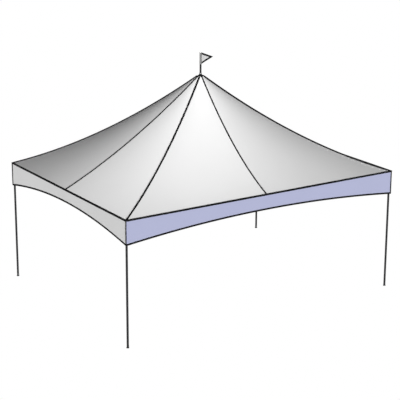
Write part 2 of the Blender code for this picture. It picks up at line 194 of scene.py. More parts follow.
class Graph:
    """The nodes of one material."""

    def __init__(self, name: str) -> None:
        """Starts a material with one Principled shader.

        Args:
            name: The material's name.
        """
        self.material = bpy.data.materials.new(name)
        self.material.use_nodes = True
        self.tree = self.material.node_tree
        self.shader = self.tree.nodes["Principled BSDF"]

    def node(
        self,
        kind: str,
        settings: dict[str, object] | None = None,
        values: dict[str | int, object] | None = None,
    ) -> bpy.types.Node:
        """Adds one node, sets it up and fills or links its sockets.

        Args:
            kind: The node's type.
            settings: The node's own settings, or "stops" for a ramp.
            values: A constant, a Value or an output socket for each input.

        Returns:
            The new node.
        """
        made = self.tree.nodes.new(kind)
        for name, setting in (settings or {}).items():
            if name == "stops":
                self._set_stops(made, setting)
            else:
                setattr(made, name, setting)
        for name, value in (values or {}).items():
            self.feed(made.inputs[name], value)
        return made

    @staticmethod
    def _set_stops(ramp: bpy.types.Node, stops: Iterable[tuple[float, tuple[float, ...]]]) -> None:
        """Puts a colour ramp's stops where they belong."""
        elements = ramp.color_ramp.elements
        while len(elements) > 1:
            elements.remove(elements[-1])
        for number, (place, colour) in enumerate(stops):
            element = elements[0] if number == 0 else elements.new(place)
            element.position = place
            element.color = colour

    def feed(self, socket: bpy.types.NodeSocket, value: object) -> None:
        """Sets a socket to a constant, or links it to a socket or a Value."""
        if isinstance(value, Value):
            self.tree.links.new(value.socket, socket)
        elif isinstance(value, bpy.types.NodeSocket):
            self.tree.links.new(value, socket)
        else:
            socket.default_value = value

    def value(
        self,
        kind: str,
        settings: dict[str, object] | None = None,
        values: dict[str | int, object] | None = None,
        output: str | int = 0,
    ) -> Value:
        """Adds a node and wraps one of its outputs."""
        return Value(self, self.node(kind, settings, values).outputs[output])

    def noise(self, place: bpy.types.NodeSocket, scale: float, detail: float = 2.0) -> Value:
        """A noise texture's value at a place."""
        values = {"Vector": place, "Scale": scale, "Detail": detail}
        return self.value("ShaderNodeTexNoise", None, values, "Fac")

    def blend(self, first: tuple, second: tuple, share: Value) -> bpy.types.NodeSocket:
        """A colour between two others.

        Args:
            first: The colour where share is 0.
            second: The colour where share is 1.
            share: How far towards the second.

        Returns:
            The colour's socket.
        """
        values = {0: share, 6: (*first, 1.0), 7: (*second, 1.0)}
        return self.node("ShaderNodeMix", {"data_type": "RGBA"}, values).outputs[2]

    def bump(self, height: Value, distance: float, strength: float = 1.0) -> bpy.types.NodeSocket:
        """A Bump node's normal."""
        values = {"Height": height, "Distance": distance, "Strength": strength}
        return self.node("ShaderNodeBump", None, values).outputs["Normal"]

    def finish(self, **sockets: object) -> bpy.types.Material:
        """Feeds the Principled shader's sockets, with _ for each space in a name."""
        for name, value in sockets.items():
            self.feed(self.shader.inputs[name.replace("_", " ")], value)
        return self.material


# Finishes


def shade(colour: tuple[float, float, float], share: float) -> tuple[float, float, float]:
    """A colour brightened or darkened by a share."""
    return tuple(min(1.0, channel * share) for channel in colour)


@dataclass(frozen=True)
class CoatedCloth:
    """Coated polyester: a fine scrim under a smooth skin, faintly clouded."""

    name: str
    colour: tuple[float, float, float]
    roughness: float = 0.62
    thread: float = 0.0022
    cloud: float = 0.985

    def build(self) -> bpy.types.Material:
        """Makes the material. It reads the piece's UV map, which is in metres."""
        graph = Graph(self.name)
        place = graph.node("ShaderNodeTexCoord")
        split = graph.node("ShaderNodeSeparateXYZ", None, {"Vector": place.outputs["UV"]})
        turns = math.tau / self.thread
        warp = (Value(graph, split.outputs["X"]) * turns).wave()
        weft = (Value(graph, split.outputs["Y"]) * turns).wave()
        scrim = warp * weft
        clouds = graph.noise(place.outputs["Object"], 0.9, 3.0)
        tone = graph.blend(shade(self.colour, self.cloud), self.colour, clouds.step_up(0.35, 0.65))
        rough = clouds * 0.08 + (self.roughness - 0.04)
        return graph.finish(
            Base_Color=tone,
            Roughness=rough + scrim * 0.03,
            Normal=graph.bump(scrim, 0.00015, 0.35),
            Specular_IOR_Level=0.25,
        )


@dataclass(frozen=True)
class WovenTape:
    """Black webbing: a twill of ribs across the tape, sewn down along its edges."""

    name: str
    colour: tuple[float, float, float] = (0.007, 0.007, 0.008)
    worn: tuple[float, float, float] = (0.015, 0.015, 0.016)
    thread: tuple[float, float, float] = (0.030, 0.030, 0.031)
    rib: float = 0.0032
    stitch_inset: float = 0.0030
    stitch_width: float = 0.0005
    stitch_pitch: float = 0.0045

    def build(self) -> bpy.types.Material:
        """Makes the material. It reads the piece's UV map, which is in metres."""
        graph = Graph(self.name)
        place = graph.node("ShaderNodeTexCoord")
        split = graph.node("ShaderNodeSeparateXYZ", None, {"Vector": place.outputs["UV"]})
        across = Value(graph, split.outputs["X"])
        along = Value(graph, split.outputs["Y"])
        zigzag = (across * (math.tau / (3 * self.rib))).maths("SINE") * (self.rib * 0.8)
        ribs = ((along + zigzag) * (math.tau / self.rib)).wave()
        fuzz = graph.noise(place.outputs["Object"], 140.0)
        off_line = (across - self.stitch_inset).maths("ABSOLUTE")
        line = 1.0 - off_line.step_up(self.stitch_width * 0.7, self.stitch_width * 1.4)
        stitches = line * (along * (math.tau / self.stitch_pitch)).wave().step_up(0.12, 0.3)
        tone = graph.blend(self.colour, self.worn, ribs * fuzz)
        sewn = graph.node(
            "ShaderNodeMix", {"data_type": "RGBA"}, {0: stitches, 6: tone, 7: (*self.thread, 1.0)}
        )
        return graph.finish(
            Base_Color=sewn.outputs[2],
            Roughness=fuzz * 0.15 + 0.75,
            Normal=graph.bump(ribs * (1.0 - line) + stitches * 1.6, 0.0005, 0.5),
            Specular_IOR_Level=0.12,
        )


@dataclass(frozen=True)
class PowderCoat:
    """Satin paint baked on metal, with a faint orange peel."""

    name: str
    colour: tuple[float, float, float] = (0.010, 0.010, 0.011)
    dusty: tuple[float, float, float] = (0.018, 0.018, 0.019)
    roughness: float = 0.46

    def build(self) -> bpy.types.Material:
        """Makes the material from the piece's own object coordinates."""
        graph = Graph(self.name)
        place = graph.node("ShaderNodeTexCoord").outputs["Object"]
        peel = graph.noise(place, 420.0, 1.0)
        dust = graph.noise(place, 6.0, 4.0)
        return graph.finish(
            Base_Color=graph.blend(self.colour, self.dusty, dust.step_up(0.45, 0.75)),
            Roughness=dust * 0.12 + (self.roughness - 0.06),
            Normal=graph.bump(peel, 0.0002, 0.25),
            Specular_IOR_Level=0.3,
        )


@dataclass(frozen=True)
class Galvanised:
    """Zinc-coated steel with faint spangle."""

    name: str
    colour: tuple[float, float, float] = (0.48, 0.49, 0.50)
    dull: tuple[float, float, float] = (0.36, 0.37, 0.38)
    metallic: float = 0.9

    def build(self) -> bpy.types.Material:
        """Makes the material from the piece's own object coordinates."""
        graph = Graph(self.name)
        place = graph.node("ShaderNodeTexCoord").outputs["Object"]
        values = {"Vector": place, "Scale": 160.0}
        spangle = graph.value("ShaderNodeTexVoronoi", None, values, "Distance")
        tarnish = graph.noise(place, 30.0, 3.0)
        return graph.finish(
            Base_Color=graph.blend(self.colour, self.dull, tarnish.step_up(0.4, 0.7)),
            Metallic=self.metallic,
            Roughness=spangle * 0.25 + 0.28,
            Normal=graph.bump(spangle, 0.0002, 0.2),
        )


@dataclass(frozen=True)
class Rubber:
    """Matt black rubber, scuffed grey where it meets the ground."""

    name: str
    colour: tuple[float, float, float] = (0.018, 0.018, 0.018)
    scuffed: tuple[float, float, float] = (0.05, 0.048, 0.045)

    def build(self) -> bpy.types.Material:
        """Makes the material from the piece's own object coordinates."""
        graph = Graph(self.name)
        place = graph.node("ShaderNodeTexCoord")
        split = graph.node("ShaderNodeSeparateXYZ", None, {"Vector": place.outputs["Object"]})
        height = Value(graph, split.outputs["Z"])
        grain = graph.noise(place.outputs["Object"], 300.0)
        low = 1.0 - height.step_up(0.0, 0.006)
        return graph.finish(
            Base_Color=graph.blend(self.colour, self.scuffed, low * grain),
            Roughness=grain * 0.15 + 0.75,
            Normal=graph.bump(grain, 0.0003, 0.4),
        )


class Finishes:
    """Every finish of the tent, each made once."""

    def __init__(self) -> None:
        """Builds the materials."""
        self.roof = CoatedCloth("roof cloth", (0.85, 0.85, 0.85)).build()
        self.grey = CoatedCloth("grey valance cloth", (0.70, 0.70, 0.70)).build()
        self.lavender = CoatedCloth("lavender valance cloth", (0.345, 0.362, 0.51)).build()
        self.pennant = CoatedCloth("pennant cloth", (0.52, 0.52, 0.52), thread=0.0014).build()
        # The sleeve's dark grey is painted shade: it stands for the shade on the round sleeve beside the
        # pole.
        self.sleeve_painted_shade = CoatedCloth("pennant sleeve painted shade", (0.20, 0.20, 0.20)).build()
        self.tape = WovenTape("black webbing").build()
        self.paint = PowderCoat("black powder coat").build()
        self.steel = Galvanised("galvanised steel").build()
        self.rubber = Rubber("foot rubber").build()


# Modelling helpers


def deselect() -> None:
    """Leaves object mode with nothing selected."""
    if bpy.context.object and bpy.context.object.mode != "OBJECT":
        bpy.ops.object.mode_set(mode="OBJECT")
    bpy.ops.object.select_all(action="DESELECT")


def choose(*pieces: bpy.types.Object) -> None:
    """Selects the pieces alone and makes the first active."""
    deselect()
    for piece in pieces:
        piece.select_set(True)
    bpy.context.view_layer.objects.active = pieces[0]


def settle(piece: bpy.types.Object) -> bpy.types.Object:
    """Applies a piece's place to its mesh."""
    choose(piece)
    bpy.ops.object.transform_apply(location=True, rotation=True, scale=True)
    return piece


def apply_modifier(piece: bpy.types.Object, kind: str, **settings: object) -> None:
    """Adds a modifier and applies it.

    Args:
        piece: The piece to change.
        kind: The modifier's type.
        settings: The modifier's settings.
    """
    choose(piece)
    modifier = piece.modifiers.new(kind.title(), kind)
    for name, setting in settings.items():
        setattr(modifier, name, setting)
    bpy.ops.object.modifier_apply(modifier=modifier.name)


def join(name: str, pieces: list[bpy.types.Object]) -> bpy.types.Object:
    """Makes one piece of several.

    Args:
        name: The joined piece's name.
        pieces: The pieces to join.

    Returns:
        The joined piece.
    """
    choose(*pieces)
    if len(pieces) > 1:
        bpy.ops.object.join()
    joined = bpy.context.object
    joined.name = joined.data.name = name
    return joined


def laid_grid(
    name: str,
    columns: int,
    rows: int,
    place: Place,
    size: tuple[float, float],
    mirrored: bool = False,
) -> bpy.types.Object:
    """Adds a grid primitive and lays its points by a function.

    Args:
        name: The piece's name.
        columns: Faces across.
        rows: Faces along.
        place: Gives the point at a share across and a share along.
        size: Real width and length, which the UV map is drawn in.
        mirrored: Whether the UV map's width is counted from the nearer edge.

    Returns:
        The open sheet.
    """
    deselect()
    bpy.ops.mesh.primitive_grid_add(x_subdivisions=columns, y_subdivisions=rows, size=1.0)
    piece = bpy.context.object
    piece.name = piece.data.name = name
    for vertex in piece.data.vertices:
        vertex.co = place(vertex.co.x + 0.5, vertex.co.y + 0.5)
    for corner in piece.data.uv_layers.active.data:
        across = min(corner.uv[0], 1 - corner.uv[0]) if mirrored else corner.uv[0]
        corner.uv = (across * size[0], corner.uv[1] * size[1])
    return piece


def face_towards(piece: bpy.types.Object, way: Vector) -> None:
    """Turns an open sheet's faces over if most of their area looks the other way."""
    total = sum((face.normal * face.area for face in piece.data.polygons), Vector())
    if total.dot(way) < 0:
        piece.data.flip_normals()


def close_round(piece: bpy.types.Object) -> None:
    """Merges the doubled points where a piece's parts or ends meet."""
    choose(piece)
    bpy.ops.object.mode_set(mode="EDIT")
    bpy.ops.mesh.select_all(action="SELECT")
    bpy.ops.mesh.remove_doubles(threshold=0.00002)
    bpy.ops.mesh.normals_make_consistent(inside=False)
    bpy.ops.object.mode_set(mode="OBJECT")


def smooth(piece: bpy.types.Object, degrees: float = 35.0) -> None:
    """Shades a piece smooth, but for edges sharper than an angle."""
    choose(piece)
    bpy.ops.object.shade_smooth_by_angle(angle=math.radians(degrees))


def attach(
    piece: bpy.types.Object, material: bpy.types.Material, slot: Slot, *nodes: str
) -> bpy.types.Object:
    """Dresses a finished piece and ties it to the frame.

    Args:
        piece: The finished piece.
        material: Its finish.
        slot: Not used.
        nodes: The CAD nodes that it stands for.

    Returns:
        The same piece.
    """
    piece.data.materials.clear()
    piece.data.materials.append(material)
    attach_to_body(piece, ROOT)
    if nodes:
        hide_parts(*nodes)
    LOG.info("%s: %d faces", piece.name, len(piece.data.polygons))
    return piece


# Roof


@dataclass(frozen=True)
class RoofForm:
    """The roof's shape: straight eaves, and seams that sag from the peak to the eaves."""

    half_length: float
    half_depth: float
    eave_top: float = 2.425
    peak_top: float = 4.333
    long_side_sag: float = 0.43
    short_side_sag: float = 0.285
    hip_sag: float = 0.455
    mouth: float = 0.012

    def reach(self, side: Side) -> float:
        """How far a side's eave is from the middle."""
        return self.half_depth if side.is_long else self.half_length

    def half(self, side: Side) -> float:
        """Half the length of a side's eave."""
        return self.half_length if side.is_long else self.half_depth

    def side_of(self, x: float, y: float) -> Side:
        """The side whose panels lie over a point of the plan."""
        if abs(x) / self.half_length >= abs(y) / self.half_depth:
            return Side.RIGHT if x > 0 else Side.LEFT
        return Side.BACK if y > 0 else Side.FRONT

    def sag(self, side: Side, across: float) -> float:
        """How deep the roof hangs along a line from the peak, 0 for a straight one."""
        middle = self.long_side_sag if side.is_long else self.short_side_sag
        return middle + (self.hip_sag - middle) * across**2

    def rise(self, sag: float, out: float) -> float:
        """The height over the eave at a share of the way out."""
        return (self.peak_top - self.eave_top) * (1 - out) * (1 - sag * out)

    def slope(self, sag: float, out: float) -> float:
        """The fall from peak to eave for each unit of out."""
        return (self.peak_top - self.eave_top) * (1 + sag - 2 * sag * out)

    def point(self, side: Side, across: float, out: float, lift: float = 0.0) -> Vector:
        """A point of the roof's upper face.

        Args:
            side: The side that it lies on.
            across: -1 to 1 between the side's two hips.
            out: 0 at the peak to 1 at the eave.
            lift: Height over the face.

        Returns:
            The point.
        """
        level = side.outward * (self.reach(side) * out)
        level += side.onward * (self.half(side) * across * out)
        height = self.eave_top + self.rise(self.sag(side, across), out) + lift
        return level + UP * height

    def drape(self, x: float, y: float, lift: float = 0.0) -> Vector:
        """The roof's point over a place in the plan, which is first brought inside the eaves."""
        x = max(-self.half_length, min(self.half_length, x))
        y = max(-self.half_depth, min(self.half_depth, y))
        side = self.side_of(x, y)
        level = Vector((x, y, 0.0))
        out = max(level.dot(side.outward) / self.reach(side), 1e-6)
        across = level.dot(side.onward) / (self.half(side) * out)
        return self.point(side, max(-1.0, min(1.0, across)), out, lift)


@dataclass
class Canopy:
    """The roof cloth: eight panels sewn into one sheet, its faces turning softly from side to side."""

    form: RoofForm
    columns: int = 22
    rows: int = 44
    thickness: float = 0.0016
    crowding: float = 1.25
    seam_crease: float = math.radians(5.0)
    hip_turn: float = math.radians(51.0)
    pieces: list[bpy.types.Object] = field(default_factory=list)

    def panel(self, side: Side, hand: int) -> bpy.types.Object:
        """One panel, from the middle of a side to one of its hips."""

        def place(share_across: float, share_out: float) -> Vector:
            out = self.form.mouth + (1 - self.form.mouth) * share_out**self.crowding
            return self.form.point(side, hand * share_across, out)

        width = self.form.half(side)
        length = (self.form.point(side, 0, 1) - self.form.point(side, 0, 0)).length
        made = laid_grid("panel", self.columns, self.rows, place, (width, length))
        face_towards(made, UP)
        return made

    def soft_normal(self, middle: Vector, point: Vector, upper: bool) -> Vector:
        """The way the stretched cloth faces at a point, turning evenly from seam to hip.

        Args:
            middle: The middle of the face that the point belongs to.
            point: The point.
            upper: Whether the face is on the upper side.

        Returns:
            A unit vector.
        """
        form = self.form
        side = form.side_of(middle.x, middle.y)
        hand = 1.0 if middle.dot(side.onward) > 0 else -1.0
        out = min(1.0, point.dot(side.outward) / form.reach(side))
        across = min(1.0, abs(point.dot(side.onward)) / (form.half(side) * out))
        own = form.slope(form.sag(side, across), out) / form.reach(side)
        hip = form.slope(form.hip_sag, out) * (0.5 / form.half_length + 0.5 / form.half_depth)
        steep = own + (hip - own) * across**2
        turn = hand * (self.seam_crease + (self.hip_turn - self.seam_crease) * across)
        level = side.outward * math.cos(turn) + side.onward * math.sin(turn)
        normal = (level * steep + UP).normalized()
        return normal if upper else -normal

    def soften(self, piece: bpy.types.Object) -> None:
        """Gives the cloth's two faces their soft normals and leaves its rims square."""
        mesh = piece.data
        normals = [Vector()] * len(mesh.loops)
        for face in mesh.polygons:
            for loop in face.loop_indices:
                point = mesh.vertices[mesh.loops[loop].vertex_index].co
                soft = self.soft_normal(face.center, point, face.normal.z > 0)
                normals[loop] = soft if soft.dot(face.normal) > 0.6 else face.normal.copy()
        mesh.shade_smooth()
        mesh.normals_split_custom_set(normals)

    def build(self, finishes: Finishes) -> bpy.types.Object:
        """Args:
            finishes: The tent's materials.

        Returns:
            The canopy.
        """
        panels = [self.panel(side, hand) for side in Side for hand in (-1, 1)]
        canopy = join("canopy", panels)
        close_round(canopy)
        face_towards(canopy, UP)
        apply_modifier(canopy, "SOLIDIFY", thickness=self.thickness, offset=-1.0)
        self.soften(canopy)
        gores = [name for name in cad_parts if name.startswith("roof_gore_")]
        attach(canopy, finishes.roof, Slot.ROOF, *gores)
        along = 2 * (self.form.point(Side.LEFT, 0, 1) - self.form.point(Side.LEFT, 0, 0)).length
        over = 2 * (self.form.point(Side.FRONT, 0, 1) - self.form.point(Side.FRONT, 0, 0)).length
        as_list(self.pieces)
        return canopy


# Piped seams


@dataclass(frozen=True)
class Track:
    """A line that a piped seam follows, with the faces that its two flanges are sewn to.

    Every function takes the share of the way along, and beside also takes the signed distance
    from the line to a point of one of the two faces.
    """

    length: float
    beside: Place
    outward: Callable[[float], Vector]
    aside: Callable[[float], Vector]


@dataclass(frozen=True)
class Piping:
    """A rope in a sleeve of black webbing, with a flange sewn down on each side of it."""

    radius: float
    near_flange: float
    far_flange: float
    stand: float = 0.6
    reach: float = math.radians(125.0)
    flange_share: float = 0.2
    thickness: float = 0.0014
    columns: int = 20
    rows: int = 110
    tapered: bool = True
    end_rows: float = 0.06

    def crowded(self, share: float, length: float) -> float:
        """Gathers rows into the two ends, where the sleeve closes over the rope.

        Args:
            share: The row's even share of the way along.
            length: The seam's length.

        Returns:
            The share of the way along at which the row lies.
        """
        if not self.tapered:
            return share
        end = 2 * self.radius / length
        if share < self.end_rows:
            return end * share / self.end_rows
        if share > 1 - self.end_rows:
            return 1 - end * (1 - share) / self.end_rows
        return end + (1 - 2 * end) * (share - self.end_rows) / (1 - 2 * self.end_rows)

    def fullness(self, along: float, length: float) -> float:
        """The rope's share of its radius, rounded off towards the two ends."""
        if not self.tapered:
            return 1.0
        near_end = min(along, 1 - along) * length / (2 * self.radius)
        return math.sqrt(max(0.0, 1 - (1 - min(1.0, near_end)) ** 2))

    def lay(self, name: str, track: Track) -> bpy.types.Object:
        """Makes the sleeve and its flanges along a line.

        Args:
            name: The piece's name.
            track: The line to follow.

        Returns:
            The finished piece.
        """

        def place(share_across: float, share_along: float) -> Vector:
            """A point of the sleeve, or of one of its flanges."""
            along = self.crowded(share_along, track.length)
            radius = self.radius * self.fullness(along, track.length)
            edge = radius * math.sin(self.reach)
            if share_across < self.flange_share:
                left = 1 - share_across / self.flange_share
                return track.beside(along, -edge - self.near_flange * left)
            if share_across > 1 - self.flange_share:
                left = 1 - (1 - share_across) / self.flange_share
                return track.beside(along, edge + self.far_flange * left)
            turn = self.reach * (2 * (share_across - self.flange_share) / (1 - 2 * self.flange_share) - 1)
            centre = track.beside(along, 0.0) + track.outward(along) * (radius * self.stand)
            bead = track.outward(along) * math.cos(turn) + track.aside(along) * math.sin(turn)
            return centre + bead * radius

        width = self.near_flange + self.far_flange + 2 * self.reach * self.radius
        made = laid_grid(name, self.columns, self.rows, place, (width, track.length), mirrored=True)
        face_towards(made, track.outward(0.5))
        apply_modifier(made, "SOLIDIFY", thickness=self.thickness, offset=1.0)
        smooth(made, 50.0)
        return made


@dataclass
class RoofSeams:
    """The piped seams over the hips and the middle of each side."""

    form: RoofForm
    hip: Piping = Piping(radius=0.0100, near_flange=0.009, far_flange=0.009)
    middle: Piping = Piping(radius=0.0090, near_flange=0.009, far_flange=0.009)
    start: float = 0.016
    stop: float = 0.998
    lift: float = 0.0008

    def track(self, end: Vector) -> Track:
        """The line over the cloth from the peak to a point of the eave.

        Args:
            end: Where it ends, in the plan.

        Returns:
            The line.
        """
        level = Vector((end.x, end.y, 0.0))
        aside = UP.cross(level).normalized()

        def spot(along: float) -> Vector:
            """The plan point at a share of the way along."""
            return level * (self.start + (self.stop - self.start) * along)

        def beside(along: float, away: float) -> Vector:
            """A point of the cloth beside the line."""
            point = spot(along) + aside * away
            return self.form.drape(point.x, point.y, self.lift)

        def outward(along: float) -> Vector:
            """The way out of the cloth, square to the line."""
            here, there = (self.form.drape(*spot(share).xy) for share in (along, along + 0.01))
            return (there - here).cross(aside).normalized()

        length = math.hypot(level.length, self.form.peak_top - self.form.eave_top)
        return Track(length, beside, outward, lambda along: aside)

    def build(self, finishes: Finishes) -> list[bpy.types.Object]:
        """Makes the eight seams.

        Args:
            finishes: The tent's materials.

        Returns:
            The seams.
        """
        made = []
        for corner in Corner:
            x, y = corner.value
            end = Vector((x * self.form.half_length, y * self.form.half_depth, 0.0))
            made.append(self.hip.lay(f"hip_piping_{corner.label}", self.track(end)))
        for side in Side:
            end = side.outward * self.form.reach(side)
            made.append(self.middle.lay(f"seam_piping_{side.label}", self.track(end)))
        for piece in made:
            attach(piece, finishes.tape, Slot.BLACK)
        return made


@dataclass
class EaveSeams:
    """The piped seams where the roof meets the valances, mitred at the corners."""

    form: RoofForm
    piping: Piping = Piping(radius=0.0090, near_flange=0.016, far_flange=0.013, tapered=False)
    lift: float = 0.0012

    def track(self, side: Side) -> Track:
        """One side's eave, with the roof on its near side and the valance on its far side.

        Args:
            side: The side.

        Returns:
            The line.
        """

        def square(along: float) -> Vector:
            """The way out of the side, leaning to the corners so that the seams meet in mitres."""
            return side.outward + side.onward * (2 * along - 1)

        def beside(along: float, away: float) -> Vector:
            """A point of the roof or, past the edge, of the valance."""
            inset = max(0.0, -away)
            level = square(along) * self.lift + side.outward * (self.form.reach(side) - inset)
            level += side.onward * ((self.form.half(side) - inset) * (2 * along - 1))
            height = self.form.drape(level.x, level.y, self.lift).z - max(0.0, away)
            return Vector((level.x, level.y, height))

        def outward(along: float) -> Vector:
            """Halfway between up and out."""
            return (square(along) + UP) * math.sqrt(0.5)

        def aside(along: float) -> Vector:
            """Halfway between out and down."""
            return (square(along) - UP) * math.sqrt(0.5)

        return Track(2 * self.form.half(side), beside, outward, aside)

    def build(self, finishes: Finishes) -> list[bpy.types.Object]:
        """Makes the four seams.

        Args:
            finishes: The tent's materials.

        Returns:
            The seams.
        """
        made = [self.piping.lay(f"eave_piping_{side.label}", self.track(side)) for side in Side]
        for piece in made:
            attach(piece, finishes.tape, Slot.BLACK)
        return made


@dataclass
class Valances:
    """The hanging borders, with roped hems and roped corners."""

    form: RoofForm
    depth: float = 0.465
    long_rise: float = 0.170
    short_rise: float = 0.223
    thickness: float = 0.0012
    inside: float = 0.0015
    under_roof: float = 0.002
    slack: float = 0.0009
    columns: int = 150
    rows: int = 14
    hem: Piping = Piping(radius=0.0070, near_flange=0.022, far_flange=0.022, stand=0.0, tapered=False)
    corner: Piping = Piping(radius=0.0085, near_flange=0.005, far_flange=0.005, tapered=False, rows=24)

    def hem_height(self, side: Side, along: float) -> float:
        """The hem's height at -1 to 1 along a side."""
        rise = self.long_rise if side.is_long else self.short_rise
        return self.form.eave_top - self.depth + rise * (1 - along**2)

    def billow(self, side: Side, along: float, down: float) -> float:
        """How far the cloth stands off its plane: slack folds that die out at its edges."""
        held = (1 - along**8) * math.sin(math.pi * min(down, 1.0) * 0.9)
        shift = 1.7 if side.is_long else 0.4
        folds = math.sin(along * 9.0 + shift) + 0.6 * math.sin(along * 23.0 + 2 * shift)
        return self.slack * held * folds

    def level(self, side: Side, along: float, out: float) -> Vector:
        """A plan point beside a side, at a distance out from the eave's line."""
        reach = self.form.reach(side) + out
        return side.outward * reach + side.onward * ((self.form.half(side) + out) * along)

    def cloth(self, side: Side) -> bpy.types.Object:
        """One side's cloth."""
        top = self.form.eave_top - self.under_roof

        def place(share_along: float, share_down: float) -> Vector:
            """A point of the cloth."""
            along = 2 * share_along - 1
            out = self.billow(side, along, share_down) - self.inside
            height = top + (self.hem_height(side, along) - top) * share_down
            return self.level(side, along, out) + UP * height

        size = (2 * self.form.half(side), self.depth)
        made = laid_grid(f"valance_cloth_{side.label}", self.columns, self.rows, place, size)
        face_towards(made, side.outward)
        apply_modifier(made, "SOLIDIFY", thickness=self.thickness, offset=0.0)
        smooth(made, 40.0)
        return made

    def hem_track(self, side: Side) -> Track:
        """A hem, with the cloth's inner face on its near side and the outer face on its far side.

        Args:
            side: The side.

        Returns:
            The line.
        """
        stand = self.thickness / 2 + 0.0002

        def beside(along: float, away: float) -> Vector:
            """A point of one of the cloth's two faces, over the hem."""
            signed = 2 * along - 1
            out = math.copysign(stand, away) if away else 0.0
            height = self.hem_height(side, signed) + abs(away)
            return self.level(side, signed, out - self.inside) + UP * height

        def aside(along: float) -> Vector:
            """Out of the side, leaning to the corners so that the hems meet in mitres."""
            return side.outward + side.onward * (2 * along - 1)

        return Track(2 * self.form.half(side), beside, lambda along: -UP, aside)

    def corner_track(self, corner: Corner) -> Track:
        """The upright line where two valances meet.

        Args:
            corner: The corner.

        Returns:
            The line.
        """
        x, y = corner.value
        bottom = self.form.eave_top - self.depth
        stand = 0.0004

        def beside(along: float, away: float) -> Vector:
            """A point of one of the two valances."""
            across, deep = max(away, 0.0), max(-away, 0.0)
            return Vector(
                (
                    x * (self.form.half_length + stand - across),
                    y * (self.form.half_depth + stand - deep),
                    bottom + (self.form.eave_top - bottom) * along,
                )
            )

        outward = Vector((x, y, 0.0)).normalized()
        aside = Vector((-x, y, 0.0)).normalized()
        return Track(self.depth, beside, lambda along: outward, lambda along: aside)

    def build(self, finishes: Finishes) -> None:
        """Args:
            finishes: The tent's materials.
        """
        for side in Side:
            cloth = self.cloth(side)
            hem = self.hem.lay(f"hem_piping_{side.label}", self.hem_track(side))
            material, slot = (
                (finishes.lavender, Slot.LAVENDER) if side.is_long else (finishes.grey, Slot.GREY)
            )
            attach(cloth, material, slot, f"valance_{side.label}")
            attach(hem, finishes.tape, Slot.BLACK)
            length = 2 * self.form.half(side)
            rise = self.long_rise if side.is_long else self.short_rise
            length * (self.depth - rise * 2 / 3)
        for corner in Corner:
            piece = self.corner.lay(f"corner_piping_{corner.label}", self.corner_track(corner))
            attach(piece, finishes.tape, Slot.BLACK)


# Rigging and fasteners


def lathe(name: str, outline: list[tuple[float, float]], sides: int = 24) -> bpy.types.Object:
    """A solid turned about Z, from an outline that starts and ends on the axis.

    Args:
        name: The piece's name.
        outline: The radius and height of each point, upwards.
        sides: How many faces go round.

    Returns:
        The closed solid.
    """

    def place(share_round: float, share_up: float) -> Vector:
        """A point of the turned face."""
        radius, height = outline[round(share_up * (len(outline) - 1))]
        turn = math.tau * share_round
        return Vector((radius * math.cos(turn), radius * math.sin(turn), height))

    made = laid_grid(name, sides, len(outline) - 1, place, (math.tau * outline[1][0], outline[-1][1]))
    close_round(made)
    return made


def aim(piece: bpy.types.Object, start: Vector, way: Vector) -> bpy.types.Object:
    """Turns a piece's own Z along a direction and starts it at a point, in its mesh.

    Args:
        piece: The piece, modelled up from the origin.
        start: Where its origin goes.
        way: Where its Z goes. Its Y stays as upright as it can.

    Returns:
        The same piece.
    """
    piece.rotation_mode = "QUATERNION"
    piece.rotation_quaternion = way.to_track_quat("Z", "Y")
    piece.location = start
    return settle(piece)


